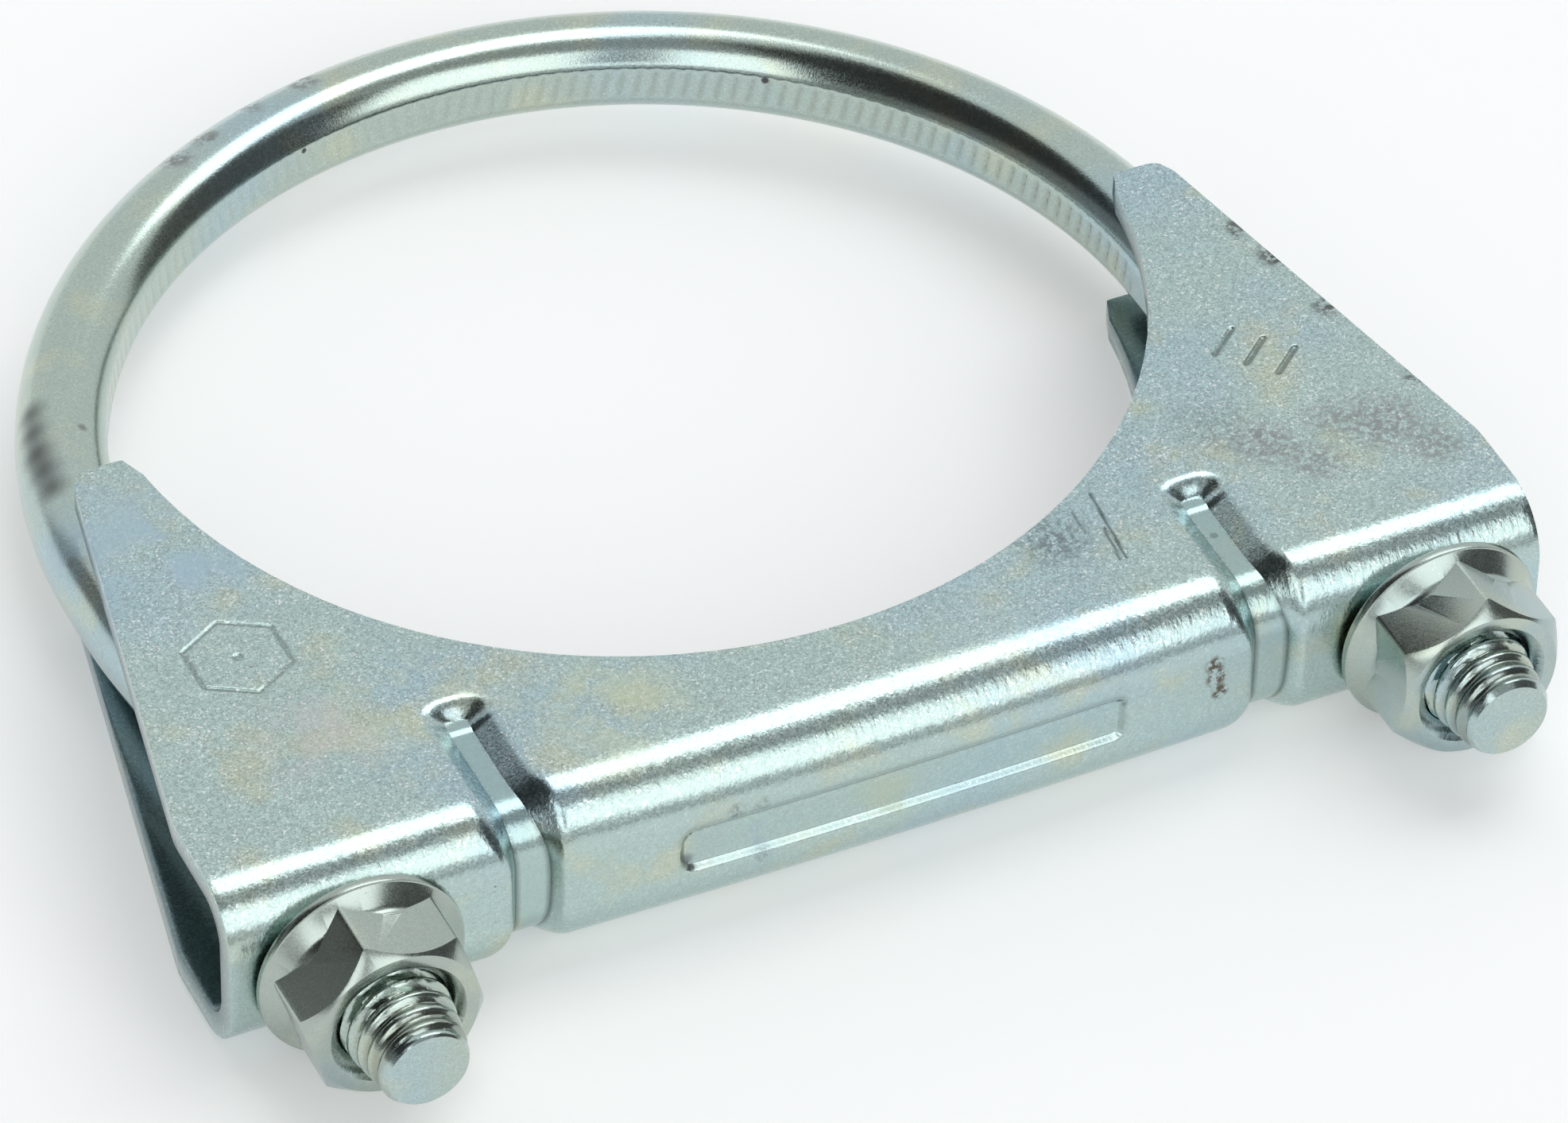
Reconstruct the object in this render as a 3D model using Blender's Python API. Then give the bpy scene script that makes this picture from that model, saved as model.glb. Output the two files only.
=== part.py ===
"""Exhaust clamp for a 76 mm (3 inch) pipe: a coined U-bolt, a pressed saddle and two flange nuts.

Units are metres. The clamp lies flat: the studs point along -Y, the back of the ring is at +Y, +Z is up.
All places are measured from the centre of the ring, on the plane of the U-bolt. The empty "clamp_frame"
then moves the whole clamp so that its box stands centred on Z = 0.
"""
import math

import bpy
import bmesh
from mathutils import Matrix, Vector

mm = 0.001

# The pipe that the clamp closes on
pipe_diameter = 76.2 * mm
pipe_radius = pipe_diameter / 2

# U-bolt: round rod, bent to a ring whose inner side is coined flat where it grips the pipe
ring_clearance = 0.35 * mm
rod_diameter = 7.1 * mm
coined_height = 6.8 * mm
coined_width = 7.1 * mm
coined_flat_cut = 0.25 * mm
coined_drop = 4.0 * mm
leg_draw_in = 0.9 * mm
thread_diameter = 7.9 * mm
thread_length = 27.0 * mm
thread_runout = 1.5 * mm
shank_length = 9.5 * mm
stud_reach = 14.4 * mm
stud_face_diameter = 5.9 * mm
stud_chamfer_length = 0.6 * mm
stud_lead_diameter = 6.8 * mm
stud_lead_length = 4.0 * mm
rod_sides = 24
ring_steps = 36
leg_steps = 6

ring_inner_radius = pipe_radius + ring_clearance
coined_radius = ring_inner_radius + coined_height / 2 - coined_flat_cut
leg_half_spacing = coined_radius - leg_draw_in
stud_end_y = -pipe_radius - stud_reach
thread_end_y = stud_end_y + thread_length
coined_start_y = -coined_drop
coined_end_y = thread_end_y + shank_length

# Saddle: one blank of sheet, folded to a channel whose two walls carry the half-round cut-out.
# The empty clamp is screwed past the place where it would close on its pipe, and a little askew.
sheet_thickness = 1.9 * mm
channel_clearance = 1.1 * mm
hole_clearance = 0.75 * mm
saddle_bite = 0.1 * mm
saddle_advance = 6.4 * mm
saddle_crown = 9.5 * mm
saddle_shift = 0.42 * mm
saddle_lift = 0.3 * mm
saddle_skew = math.radians(0.59)
bend_outer_radius = 4.6 * mm
horn_drop = 2.3 * mm
horn_width = 4.4 * mm
horn_inner_corner_radius = 1.0 * mm
horn_outer_corner_radius = 1.6 * mm
foot_overhang = 8.6 * mm
foot_height = 9.7 * mm
knee_corner_radius = 5.0 * mm
web_bow = 0.5 * mm
bend_steps = 6
cutout_steps = 24
corner_steps = 5
hole_sides = 28

saddle_height = thread_diameter + 2 * channel_clearance + 2 * sheet_thickness
stud_hole_diameter = thread_diameter + 2 * hole_clearance
cutout_radius = pipe_radius - saddle_bite
web_face_y = saddle_advance - cutout_radius - saddle_crown
web_half_length = leg_half_spacing + foot_overhang
horn_outer_x = cutout_radius + horn_width

# Stiffening beads: grooves that run over both bends, and the long recess between them
bead_to_stud = 12.8 * mm
bead_width = 4.8 * mm
bead_floor_width = 2.6 * mm
bead_depth = 0.95 * mm
bead_reach = 12.5 * mm
bead_end_run = 2.0 * mm
recess_margin = 8.6 * mm
recess_offset = 0.5 * mm
recess_width = 3.2 * mm
recess_wall = 0.9 * mm
recess_depth = 0.6 * mm
bead_columns = 10
bead_end_rows = 5
recess_end_columns = 4
web_rows = 8

bead_x = leg_half_spacing - bead_to_stud
recess_half_length = bead_x - bead_width / 2 - recess_margin

# Flange nuts
nut_wall = 2.05 * mm
nut_height = 6.7 * mm
nut_flange_margin = 0.57 * mm
nut_rim_thickness = 0.8 * mm
nut_flange_rise = 1.0 * mm
nut_fillet = 1.0 * mm
nut_edge_break = 0.15 * mm
nut_chamfer_slope = math.tan(math.radians(50))
nut_countersink = 0.7 * mm
nut_turn = {"left": 16.0, "right": -5.0}
nut_sides = 36
nut_fillet_steps = 4

nut_across_flats = thread_diameter + 2 * nut_wall

# Clearances between pieces that fit each other
thread_clearance = 0.3 * mm
seat_clearance = 0.3 * mm

# Looks
zinc = (0.60, 0.63, 0.64)
rod_roughness = 0.28
sheet_roughness = 0.36
nut_roughness = 0.32
smooth_below = math.radians(35)
flat_below = math.radians(0.4)


def clear_scene():
    for old in list(bpy.data.objects):
        bpy.data.objects.remove(old, do_unlink=True)


def zinc_material(name, roughness):
    material = bpy.data.materials.new(name)
    material.use_nodes = True
    shader = material.node_tree.nodes["Principled BSDF"]
    shader.inputs["Base Color"].default_value = (*zinc, 1.0)
    shader.inputs["Metallic"].default_value = 1.0
    shader.inputs["Roughness"].default_value = roughness
    return material


def add_object(name, bm, parent, material=None):
    """Turns a bmesh into an object under its parent."""
    bmesh.ops.recalc_face_normals(bm, faces=bm.faces)
    mesh = bpy.data.meshes.new(name)
    bm.to_mesh(mesh)
    bm.free()
    obj = bpy.data.objects.new(name, mesh)
    bpy.context.scene.collection.objects.link(obj)
    obj.parent = parent
    if material:
        mesh.materials.append(material)
        mesh.shade_smooth()
        mesh.set_sharp_from_angle(angle=smooth_below)
    return obj


def add_cutter(name, bm, parent):
    cutter = add_object(name, bm, parent)
    cutter.hide_render = True
    cutter.display_type = "WIRE"
    return cutter


def add_boolean(obj, cutter, operation):
    boolean = obj.modifiers.new(cutter.name, "BOOLEAN")
    boolean.operation = operation
    boolean.solver = "EXACT"
    boolean.object = cutter


def smooth_step(value, low, high):
    share = min(max((value - low) / (high - low), 0.0), 1.0)
    return share * share * (3 - 2 * share)


def mix(a, b, share):
    return a + (b - a) * share


def span(low, high, steps):
    return [mix(low, high, i / steps) for i in range(steps + 1)]


def turned_about_y(profile, sides):
    """A closed solid turned about the Y axis from (radius, y) points that start and end on the axis."""
    bm = bmesh.new()
    verts = [bm.verts.new((0, y, -radius)) for radius, y in profile]
    edges = [bm.edges.new((a, b)) for a, b in zip(verts, verts[1:])]
    bmesh.ops.spin(bm, geom=verts + edges, cent=(0, 0, 0), axis=(0, 1, 0), dvec=(0, 0, 0),
                   angle=2 * math.pi, steps=sides, use_merge=True, use_duplicate=False)
    bmesh.ops.remove_doubles(bm, verts=bm.verts, dist=1e-7)
    return bm


def prism(outline, low, high):
    """Extrudes an outline of (x, y) points from z = low to z = high."""
    bm = bmesh.new()
    face = bm.faces.new([bm.verts.new((x, y, low)) for x, y in outline])
    wall = bmesh.ops.extrude_face_region(bm, geom=[face])
    top = [item for item in wall["geom"] if isinstance(item, bmesh.types.BMVert)]
    bmesh.ops.translate(bm, verts=top, vec=(0, 0, high - low))
    return bm


# U-bolt

def rod_section(coined, radius):
    """Points (outward, axial) of the rod's section, from round (coined = 0) to coined (coined = 1)."""
    half_height = mix(radius, coined_height / 2, coined)
    half_width = mix(radius, coined_width / 2, coined)
    flat = mix(-radius, coined_flat_cut - coined_height / 2, coined)
    points = []
    for i in range(rod_sides):
        angle = 2 * math.pi * i / rod_sides
        points.append((max(half_height * math.cos(angle), flat), half_width * math.sin(angle)))
    return points


def rod_stations():
    """Half of the rod's path, from the right stud's end to the back of the ring.

    Each station is (x, y, turn of the section, coined share, radius)."""
    thread_radius = thread_diameter / 2
    shank_radius = rod_diameter / 2
    lead_start_y = stud_end_y + stud_chamfer_length
    stations = [
        (leg_half_spacing, stud_end_y, 0, 0, stud_face_diameter / 2),
        (leg_half_spacing, lead_start_y, 0, 0, stud_lead_diameter / 2),
        (leg_half_spacing, lead_start_y + stud_lead_length, 0, 0, thread_radius),
        (leg_half_spacing, thread_end_y - thread_runout, 0, 0, thread_radius),
        (leg_half_spacing, thread_end_y, 0, 0, shank_radius),
    ]
    for y in span(coined_end_y, coined_start_y, leg_steps):
        share = smooth_step(y, coined_end_y, coined_start_y)
        stations.append((mix(leg_half_spacing, coined_radius, share), y, 0, share, shank_radius))
    for turn in span(0, math.pi / 2, ring_steps // 2):
        x, y = coined_radius * math.cos(turn), coined_radius * math.sin(turn)
        stations.append((x, y, turn, 1, shank_radius))
    return stations


def make_u_bolt(parent):
    right = rod_stations()
    left = [(-x, y, math.pi - turn, coined, radius)
            for x, y, turn, coined, radius in reversed(right[:-1])]
    bm = bmesh.new()
    loops = []
    for x, y, turn, coined, radius in right + left:
        outward = Vector((math.cos(turn), math.sin(turn), 0))
        centre = Vector((x, y, 0))
        ring = [bm.verts.new(centre + outward * out + Vector((0, 0, axial)))
                for out, axial in rod_section(coined, radius)]
        loops.append([bm.edges.new((a, b)) for a, b in zip(ring, ring[1:] + ring[:1])])
    for first, second in zip(loops, loops[1:]):
        bmesh.ops.bridge_loops(bm, edges=first + second)
    for end in (loops[0], loops[-1]):
        bmesh.ops.contextual_create(bm, geom=end)
    return add_object("u_bolt", bm, parent, zinc_material("u_bolt_zinc", rod_roughness))


# Saddle, in its own frame: y is measured from the outer face of the web

def bead_depth_at(x, y):
    """Depth of the stiffening beads below the plain sheet, y above the web's face."""
    across = abs(abs(x) - bead_x)
    depth = bead_depth * (1 - smooth_step(across, bead_floor_width / 2, bead_width / 2))
    return depth * (1 - smooth_step(y, bead_reach - bead_end_run, bead_reach))


def recess_depth_at(x, z):
    """Depth of the long recess in the web, an oval trough with sloped walls."""
    straight = recess_half_length - recess_width / 2
    along = max(abs(x) - straight, 0)
    edge = recess_width / 2 - math.hypot(along, z - recess_offset)
    return recess_depth * smooth_step(edge, 0, recess_wall)


def web_bow_at(x):
    """The web between the beads is pressed out in a shallow curve."""
    return web_bow * max(1 - (x / (bead_x - bead_width / 2)) ** 2, 0)


def sheet_point(x, path):
    """Outer face of the folded sheet at a distance along the fold's path from the web's centre line."""
    half_height = saddle_height / 2
    web_flat = half_height - bend_outer_radius
    bend_length = bend_outer_radius * math.pi / 2
    side = 1 if path >= 0 else -1
    reach = abs(path)
    if reach <= web_flat:
        point = Vector((x, -web_bow_at(x), path))
        normal = Vector((0, -1, 0))
        depth = max(bead_depth_at(x, 0), recess_depth_at(x, path))
    elif reach <= web_flat + bend_length:
        turn = (reach - web_flat) / bend_outer_radius
        bow = web_bow_at(x) * math.cos(turn)
        normal = Vector((0, -math.cos(turn), side * math.sin(turn)))
        point = Vector((x, bend_outer_radius - bow, side * web_flat)) + normal * bend_outer_radius
        depth = bead_depth_at(x, 0)
    else:
        y = bend_outer_radius + reach - web_flat - bend_length
        point = Vector((x, y, side * half_height))
        normal = Vector((0, 0, side))
        depth = bead_depth_at(x, y)
    return point - normal * depth


def sheet_columns():
    """X positions of the sheet's grid: close together across the beads and at the recess's ends."""
    bead_start = bead_x - bead_width / 2
    right = span(recess_half_length - recess_width, recess_half_length, recess_end_columns)
    right += span(recess_half_length, bead_start, 2)
    right += span(bead_start, bead_start + bead_width, bead_columns)
    right += [web_half_length + sheet_thickness]
    return sorted(set(round(x, 7) for x in right + [-x for x in right]))


def sheet_rows():
    """Distances along the fold's path: close together in the web's recess, the bends and the beads' ends."""
    web_flat = saddle_height / 2 - bend_outer_radius
    bend_end = web_flat + bend_outer_radius * math.pi / 2
    to_path = bend_end - bend_outer_radius
    top = saddle_crown + cutout_radius
    upper = span(web_flat, bend_end, bend_steps)
    upper += span(bead_reach - bead_end_run + to_path, bead_reach + to_path, bead_end_rows)
    upper += [top + to_path]
    web = span(-web_flat, web_flat, web_rows)
    return sorted(set(round(s, 7) for s in web + upper + [-s for s in upper]))


def rounded_corner(previous, corner, following, radius):
    """Arc points that round one corner of an outline."""
    a, b, c = Vector(previous), Vector(corner), Vector(following)
    to_a, to_c = (a - b).normalized(), (c - b).normalized()
    half = to_a.angle(to_c) / 2
    centre = b + (to_a + to_c).normalized() * (radius / math.sin(half))
    start = b + to_a * (radius / math.tan(half)) - centre
    finish = b + to_c * (radius / math.tan(half)) - centre
    turn = start.angle_signed(finish)
    return [tuple(centre + Matrix.Rotation(-angle, 2) @ start) for angle in span(0, turn, corner_steps)]


def blank_outline():
    """Plan of the folded saddle: horns, slanted sides, square ends and the half-round cut-out."""
    cutout_centre_y = saddle_crown + cutout_radius
    horn_top_y = cutout_centre_y - horn_drop
    horn_inner = (math.sqrt(cutout_radius ** 2 - horn_drop ** 2), horn_top_y)
    horn_outer = (horn_outer_x, horn_top_y)
    knee = (web_half_length, foot_height)
    foot = (web_half_length, -web_bow - sheet_thickness)
    cutout_tangent = (horn_inner[0] - horn_drop, horn_top_y - horn_inner[0])
    right = [foot]
    right += rounded_corner(foot, knee, horn_outer, knee_corner_radius)
    right += rounded_corner(knee, horn_outer, horn_inner, horn_outer_corner_radius)
    right += rounded_corner(horn_outer, horn_inner, cutout_tangent, horn_inner_corner_radius)
    start = math.atan2(right[-1][1] - cutout_centre_y, right[-1][0])
    for angle in span(start, -math.pi / 2, cutout_steps)[1:]:
        right.append((cutout_radius * math.cos(angle), cutout_centre_y + cutout_radius * math.sin(angle)))
    left = [(-x, y) for x, y in reversed(right[:-1])]
    return right + left


def make_saddle(parent):
    """Folds the sheet with its beads and recess, then trims it to the blank's outline and bores it."""
    bm = bmesh.new()
    columns = sheet_columns()
    grid = [[bm.verts.new(sheet_point(x, path)) for x in columns] for path in sheet_rows()]
    for lower, upper in zip(grid, grid[1:]):
        for i in range(len(columns) - 1):
            bm.faces.new((lower[i], lower[i + 1], upper[i + 1], upper[i]))
    saddle = add_object("saddle", bm, parent, zinc_material("saddle_zinc", sheet_roughness))
    saddle.location = (-saddle_shift, web_face_y, saddle_lift)
    saddle.rotation_euler.z = -saddle_skew
    wall = saddle.modifiers.new("sheet", "SOLIDIFY")
    wall.thickness = sheet_thickness
    wall.offset = -1
    wall.use_even_offset = True

    blank = add_cutter("saddle_blank_cutter", prism(blank_outline(), -saddle_height, saddle_height), saddle)
    add_boolean(saddle, blank, "INTERSECT")
    hole_radius = stud_hole_diameter / 2
    outside = -web_bow - sheet_thickness
    inside = 2 * sheet_thickness
    for side, name in ((-1, "left"), (1, "right")):
        profile = [(0, outside), (hole_radius, outside), (hole_radius, inside), (0, inside)]
        hole = add_cutter(f"stud_hole_cutter_{name}", turned_about_y(profile, hole_sides), saddle)
        hole.location.x = side * leg_half_spacing
        add_boolean(saddle, hole, "DIFFERENCE")
    flats = saddle.modifiers.new("join_flat_faces", "DECIMATE")
    flats.decimate_type = "DISSOLVE"
    flats.angle_limit = flat_below
    return saddle


# Nuts, in their own frame: y is measured from the flange's seat, and the nut grows along -Y

def hexagon(radius, turn, low, high):
    """A six-sided bar along -Y between two heights above the seat."""
    bm = bmesh.new()
    bmesh.ops.create_circle(bm, cap_ends=True, radius=radius, segments=6)
    bmesh.ops.rotate(bm, verts=bm.verts, matrix=Matrix.Rotation(turn, 3, "Z"))
    grown = bmesh.ops.extrude_face_region(bm, geom=bm.faces[:])
    top = [item for item in grown["geom"] if isinstance(item, bmesh.types.BMVert)]
    bmesh.ops.translate(bm, verts=top, vec=(0, 0, high - low))
    bmesh.ops.translate(bm, verts=bm.verts, vec=(0, 0, low))
    bmesh.ops.rotate(bm, verts=bm.verts, matrix=Matrix.Rotation(math.radians(90), 3, "X"))
    return bm


def flange_profile(hex_radius):
    """The flange's rim, its sloped top and the fillet that meets the hexagon."""
    rim_radius = hex_radius + nut_flange_margin
    slope_radius = nut_across_flats / 2 + nut_fillet / 3
    slope_top = nut_rim_thickness + nut_flange_rise
    profile = [(0, 0), (rim_radius - nut_edge_break, 0), (rim_radius, nut_edge_break),
               (rim_radius, nut_rim_thickness - nut_edge_break),
               (rim_radius - nut_edge_break, nut_rim_thickness)]
    for angle in span(math.pi / 4, math.pi / 2, nut_fillet_steps):
        radius = slope_radius - nut_fillet * (math.sin(angle) - math.sqrt(0.5))
        profile.append((radius, slope_top + nut_fillet * (math.sqrt(0.5) - math.cos(angle))))
    profile.append((0, profile[-1][1]))
    return profile


def make_nut(side, name, parent):
    """A flange nut with its origin on its joint's axis, at the centre of the flange's seat."""
    hex_radius = nut_across_flats / math.sqrt(3)
    flat_radius = nut_across_flats / 2
    bore_radius = thread_diameter / 2 + thread_clearance
    low = nut_rim_thickness / 2
    body = hexagon(hex_radius, math.radians(nut_turn[name]), low, nut_height)
    nut = add_object(f"nut_{name}", body, parent, zinc_material(f"nut_{name}_zinc", nut_roughness))
    web_y_at_stud = web_face_y - (side * leg_half_spacing + saddle_shift) * math.tan(saddle_skew)
    nut.location = (side * leg_half_spacing, web_y_at_stud - seat_clearance, 0)

    outer_radius = hex_radius + nut_flange_margin
    chamfer_drop = (outer_radius - flat_radius) * nut_chamfer_slope
    chamfer = [(0, low / 2), (outer_radius, low / 2), (outer_radius, nut_height - chamfer_drop),
               (flat_radius, nut_height), (0, nut_height)]
    mouth_radius, mouth_height = bore_radius + 2 * nut_countersink, nut_height + nut_countersink
    bore = [(0, -nut_height), (bore_radius, -nut_height), (bore_radius, nut_height - nut_countersink),
            (mouth_radius, mouth_height), (0, mouth_height)]
    cuts = (("chamfer", chamfer, "INTERSECT", nut_sides),
            ("flange", flange_profile(hex_radius), "UNION", nut_sides),
            ("bore", bore, "DIFFERENCE", hole_sides))
    for cut, profile, operation, sides in cuts:
        turned = turned_about_y([(radius, -height) for radius, height in profile], sides)
        add_boolean(nut, add_cutter(f"nut_{name}_{cut}_cutter", turned, nut), operation)
    return nut


def stand_on_origin(frame, pieces):
    """Moves the frame so that the box round all the pieces stands centred on the origin."""
    bpy.context.view_layer.update()
    depsgraph = bpy.context.evaluated_depsgraph_get()
    corners = []
    for piece in pieces:
        evaluated = piece.evaluated_get(depsgraph)
        corners += [evaluated.matrix_world @ vert.co for vert in evaluated.data.vertices]
    low = [min(corner[axis] for corner in corners) for axis in range(3)]
    high = [max(corner[axis] for corner in corners) for axis in range(3)]
    frame.location = (-(low[0] + high[0]) / 2, -(low[1] + high[1]) / 2, -low[2])


def main():
    clear_scene()
    frame = bpy.data.objects.new("clamp_frame", None)
    bpy.context.scene.collection.objects.link(frame)
    pieces = [make_u_bolt(frame), make_saddle(frame)]
    pieces += [make_nut(-1, "left", frame), make_nut(1, "right", frame)]
    stand_on_origin(frame, pieces)


main()
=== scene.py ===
import math

import bmesh
import bpy
import numpy as np
from mathutils import Matrix, Vector


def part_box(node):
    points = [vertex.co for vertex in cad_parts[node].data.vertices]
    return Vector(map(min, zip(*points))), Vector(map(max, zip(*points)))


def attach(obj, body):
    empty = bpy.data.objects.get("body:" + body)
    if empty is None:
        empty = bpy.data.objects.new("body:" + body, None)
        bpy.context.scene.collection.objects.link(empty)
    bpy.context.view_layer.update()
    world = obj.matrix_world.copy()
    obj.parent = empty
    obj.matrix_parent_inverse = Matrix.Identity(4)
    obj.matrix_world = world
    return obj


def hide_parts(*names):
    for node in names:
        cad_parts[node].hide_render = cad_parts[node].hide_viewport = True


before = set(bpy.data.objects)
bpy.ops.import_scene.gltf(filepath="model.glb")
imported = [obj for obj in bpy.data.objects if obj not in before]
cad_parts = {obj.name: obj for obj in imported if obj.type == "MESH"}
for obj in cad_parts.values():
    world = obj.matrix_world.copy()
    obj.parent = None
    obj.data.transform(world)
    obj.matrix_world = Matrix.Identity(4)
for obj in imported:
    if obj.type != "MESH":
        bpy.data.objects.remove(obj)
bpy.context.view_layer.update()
mm = 0.001

# Where things are, read from the parts in model.glb
boltLow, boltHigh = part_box("u_bolt")
saddleLow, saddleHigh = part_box("saddle")


def toRow(x, y, z):
    return ringCentre + Vector((x, y, z))


def step(value, low, high):
    share = min(max((value - low) / (high - low), 0.0), 1.0)
    return share * share * (3 - 2 * share)


def shapedGrid(bm, columns, rows, place, paint):
    # a grid whose points are each moved to their place by column and row, then painted
    made = bmesh.ops.create_grid(bm, x_segments=columns, y_segments=rows, size=1)
    for v in made["verts"]:
        column, row = round((v.co.x + 1) / 2 * columns), round((v.co.y + 1) / 2 * rows)
        v.co = place(column, row)
        paint(v, column, row)


def turned(profile, sides):
    # a closed solid turned about Y from (radius, y) points that start and end on the axis
    bm = bmesh.new()
    verts = [bm.verts.new((0, y, -radius)) for radius, y in profile]
    edges = [bm.edges.new(pair) for pair in zip(verts, verts[1:])]
    bmesh.ops.spin(bm, geom=verts + edges, cent=(0, 0, 0), axis=(0, 1, 0), dvec=(0, 0, 0),
                   angle=2 * math.pi, steps=sides, use_merge=True, use_duplicate=False)
    bmesh.ops.remove_doubles(bm, verts=bm.verts, dist=1e-7)
    bmesh.ops.recalc_face_normals(bm, faces=bm.faces)
    return bm


def newObject(name, bm):
    mesh = bpy.data.meshes.new(name)
    bm.to_mesh(mesh)
    bm.free()
    piece = bpy.data.objects.new(name, mesh)
    bpy.context.scene.collection.objects.link(piece)
    return piece


def applyModifiers(piece):
    depsgraph = bpy.context.evaluated_depsgraph_get()
    piece.data = bpy.data.meshes.new_from_object(piece.evaluated_get(depsgraph))
    piece.modifiers.clear()


def cutWith(piece, cutter, operation):
    boolean = piece.modifiers.new("cut", "BOOLEAN")
    boolean.operation = operation
    boolean.solver = "EXACT"
    boolean.object = cutter
    applyModifiers(piece)
    bpy.data.objects.remove(cutter, do_unlink=True)


def finishPiece(piece, body, node, material, sharpAngle):
    piece.data.materials.clear()
    piece.data.materials.append(material)
    piece.data.shade_smooth()
    piece.data.set_sharp_from_angle(angle=math.radians(sharpAngle))
    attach(piece, body)
    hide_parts(node)


# Node groups

def addNode(tree, kind, **values):
    node = tree.nodes.new(kind)
    for name, value in values.items():
        setattr(node, name, value)
    return node


def newGroup(name, inputs, outputs):
    group = bpy.data.node_groups.new(name, "ShaderNodeTree")
    for label, value in inputs:
        kind = "NodeSocketColor" if isinstance(value, tuple) else "NodeSocketFloat"
        socket = group.interface.new_socket(label, in_out="INPUT", socket_type=kind)
        socket.default_value = value
    for label, kind in outputs:
        group.interface.new_socket(label, in_out="OUTPUT", socket_type="NodeSocket" + kind)
    start = addNode(group, "NodeGroupInput")
    end = addNode(group, "NodeGroupOutput")
    return group, start, end


def feed(tree, socket, value):
    # another node's output is linked, and a plain value or colour is set
    if isinstance(value, bpy.types.NodeSocket):
        tree.links.new(value, socket)
    else:
        socket.default_value = (*value, 1.0) if socket.type == "RGBA" else value


def mathNode(tree, operation, first, second=None):
    node = addNode(tree, "ShaderNodeMath", operation=operation)
    feed(tree, node.inputs[0], first)
    if second is not None:
        feed(tree, node.inputs[1], second)
    return node.outputs[0]


def times(tree, first, second):
    return mathNode(tree, "MULTIPLY", first, second)


def remap(tree, value, low, high, toLow=0.0, toHigh=1.0, smooth=True):
    node = addNode(tree, "ShaderNodeMapRange", interpolation_type="SMOOTHSTEP" if smooth else "LINEAR")
    names = ("Value", "From Min", "From Max", "To Min", "To Max")
    for name, number in zip(names, (value, low, high, toLow, toHigh)):
        feed(tree, node.inputs[name], number)
    return node.outputs["Result"]


def mixColour(tree, share, first, second):
    node = addNode(tree, "ShaderNodeMix", data_type="RGBA")
    sockets = [s for s in node.inputs if s.enabled]
    for socket, value in zip(sockets, (share, first, second)):
        feed(tree, socket, value)
    return [s for s in node.outputs if s.enabled][0]


def noise(tree, where, scale, detail=2.0, roughness=0.5, stretch=None):
    if stretch:
        mapping = addNode(tree, "ShaderNodeMapping")
        mapping.inputs["Scale"].default_value = stretch
        tree.links.new(where, mapping.inputs["Vector"])
        where = mapping.outputs["Vector"]
    node = addNode(tree, "ShaderNodeTexNoise")
    for name, value in (("Vector", where), ("Scale", scale), ("Detail", detail), ("Roughness", roughness)):
        feed(tree, node.inputs[name], value)
    return node.outputs["Fac"]


def objectPoint(tree):
    return addNode(tree, "ShaderNodeTexCoord").outputs["Object"]


def crystals(tree, where, scale):
    # a different value for each tiny crystal
    cells = addNode(tree, "ShaderNodeTexVoronoi")
    feed(tree, cells.inputs["Vector"], where)
    feed(tree, cells.inputs["Scale"], scale)
    parts = addNode(tree, "ShaderNodeSeparateColor")
    tree.links.new(cells.outputs["Color"], parts.inputs[0])
    return parts.outputs[0]


def makeFleckGroup():
    # painted glints: the plating's crystal flecks painted near white, and the fine grain between them
    group, start, end = newGroup("zincGlintFlecks", [("Size", 5200.0), ("Amount", 0.6)],
                                 [("Flecks", "Float"), ("Grain", "Float"), ("Height", "Float")])
    where = objectPoint(group)
    coarse = noise(group, where, start.outputs["Size"], 1.5, 0.6)
    patches = noise(group, where, 260.0, 2.0)
    limit = mathNode(group, "SUBTRACT", 0.86, times(group, start.outputs["Amount"], 0.16))
    limit = mathNode(group, "SUBTRACT", limit, times(group, patches, 0.22))
    flecks = remap(group, coarse, limit, mathNode(group, "ADD", limit, 0.05))
    large = crystals(group, where, times(group, start.outputs["Size"], 1.4))
    small = crystals(group, where, times(group, start.outputs["Size"], 3.1))
    grain = mathNode(group, "ADD", times(group, large, 0.5), times(group, small, 0.5))
    sparks = remap(group, large, 0.965, 0.985)
    flecks = mathNode(group, "MAXIMUM", flecks, times(group, sparks, start.outputs["Amount"]))
    height = mathNode(group, "ADD", times(group, coarse, 0.8), times(group, small, 0.12))
    for socket, value in zip(end.inputs, (flecks, grain, height)):
        group.links.new(value, socket)
    return group


def makeTintGroup():
    # the plating's faint blue, green and straw tints in soft clouds
    group, start, end = newGroup("platingTint", [("Base", (0.62, 0.65, 0.66, 1.0)), ("Strength", 0.5)],
                                 [("Color", "Color")])
    where = objectPoint(group)
    broad = noise(group, where, 55.0, 2.0)
    small = noise(group, where, 190.0, 3.0)
    blue = times(group, remap(group, broad, 0.46, 0.66), start.outputs["Strength"])
    straw = times(group, remap(group, small, 0.50, 0.72), start.outputs["Strength"])
    colour = mixColour(group, blue, start.outputs["Base"], (0.42, 0.56, 0.62))
    colour = mixColour(group, straw, colour, (0.56, 0.60, 0.48))
    group.links.new(colour, end.inputs["Color"])
    return group


def makeGrimeGroup():
    # small dark specks and faint stains
    group, start, end = newGroup("grime", [("Size", 900.0), ("Amount", 0.3)], [("Mask", "Float")])
    where = objectPoint(group)
    cloud = noise(group, where, 120.0, 3.0, 0.6)
    speck = noise(group, where, start.outputs["Size"], 3.0, 0.7)
    near = remap(group, cloud, 0.52, 0.75)
    limit = mathNode(group, "SUBTRACT", 0.74, times(group, near, start.outputs["Amount"]))
    mask = remap(group, speck, limit, mathNode(group, "ADD", limit, 0.06))
    group.links.new(mask, end.inputs["Mask"])
    return group


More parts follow.
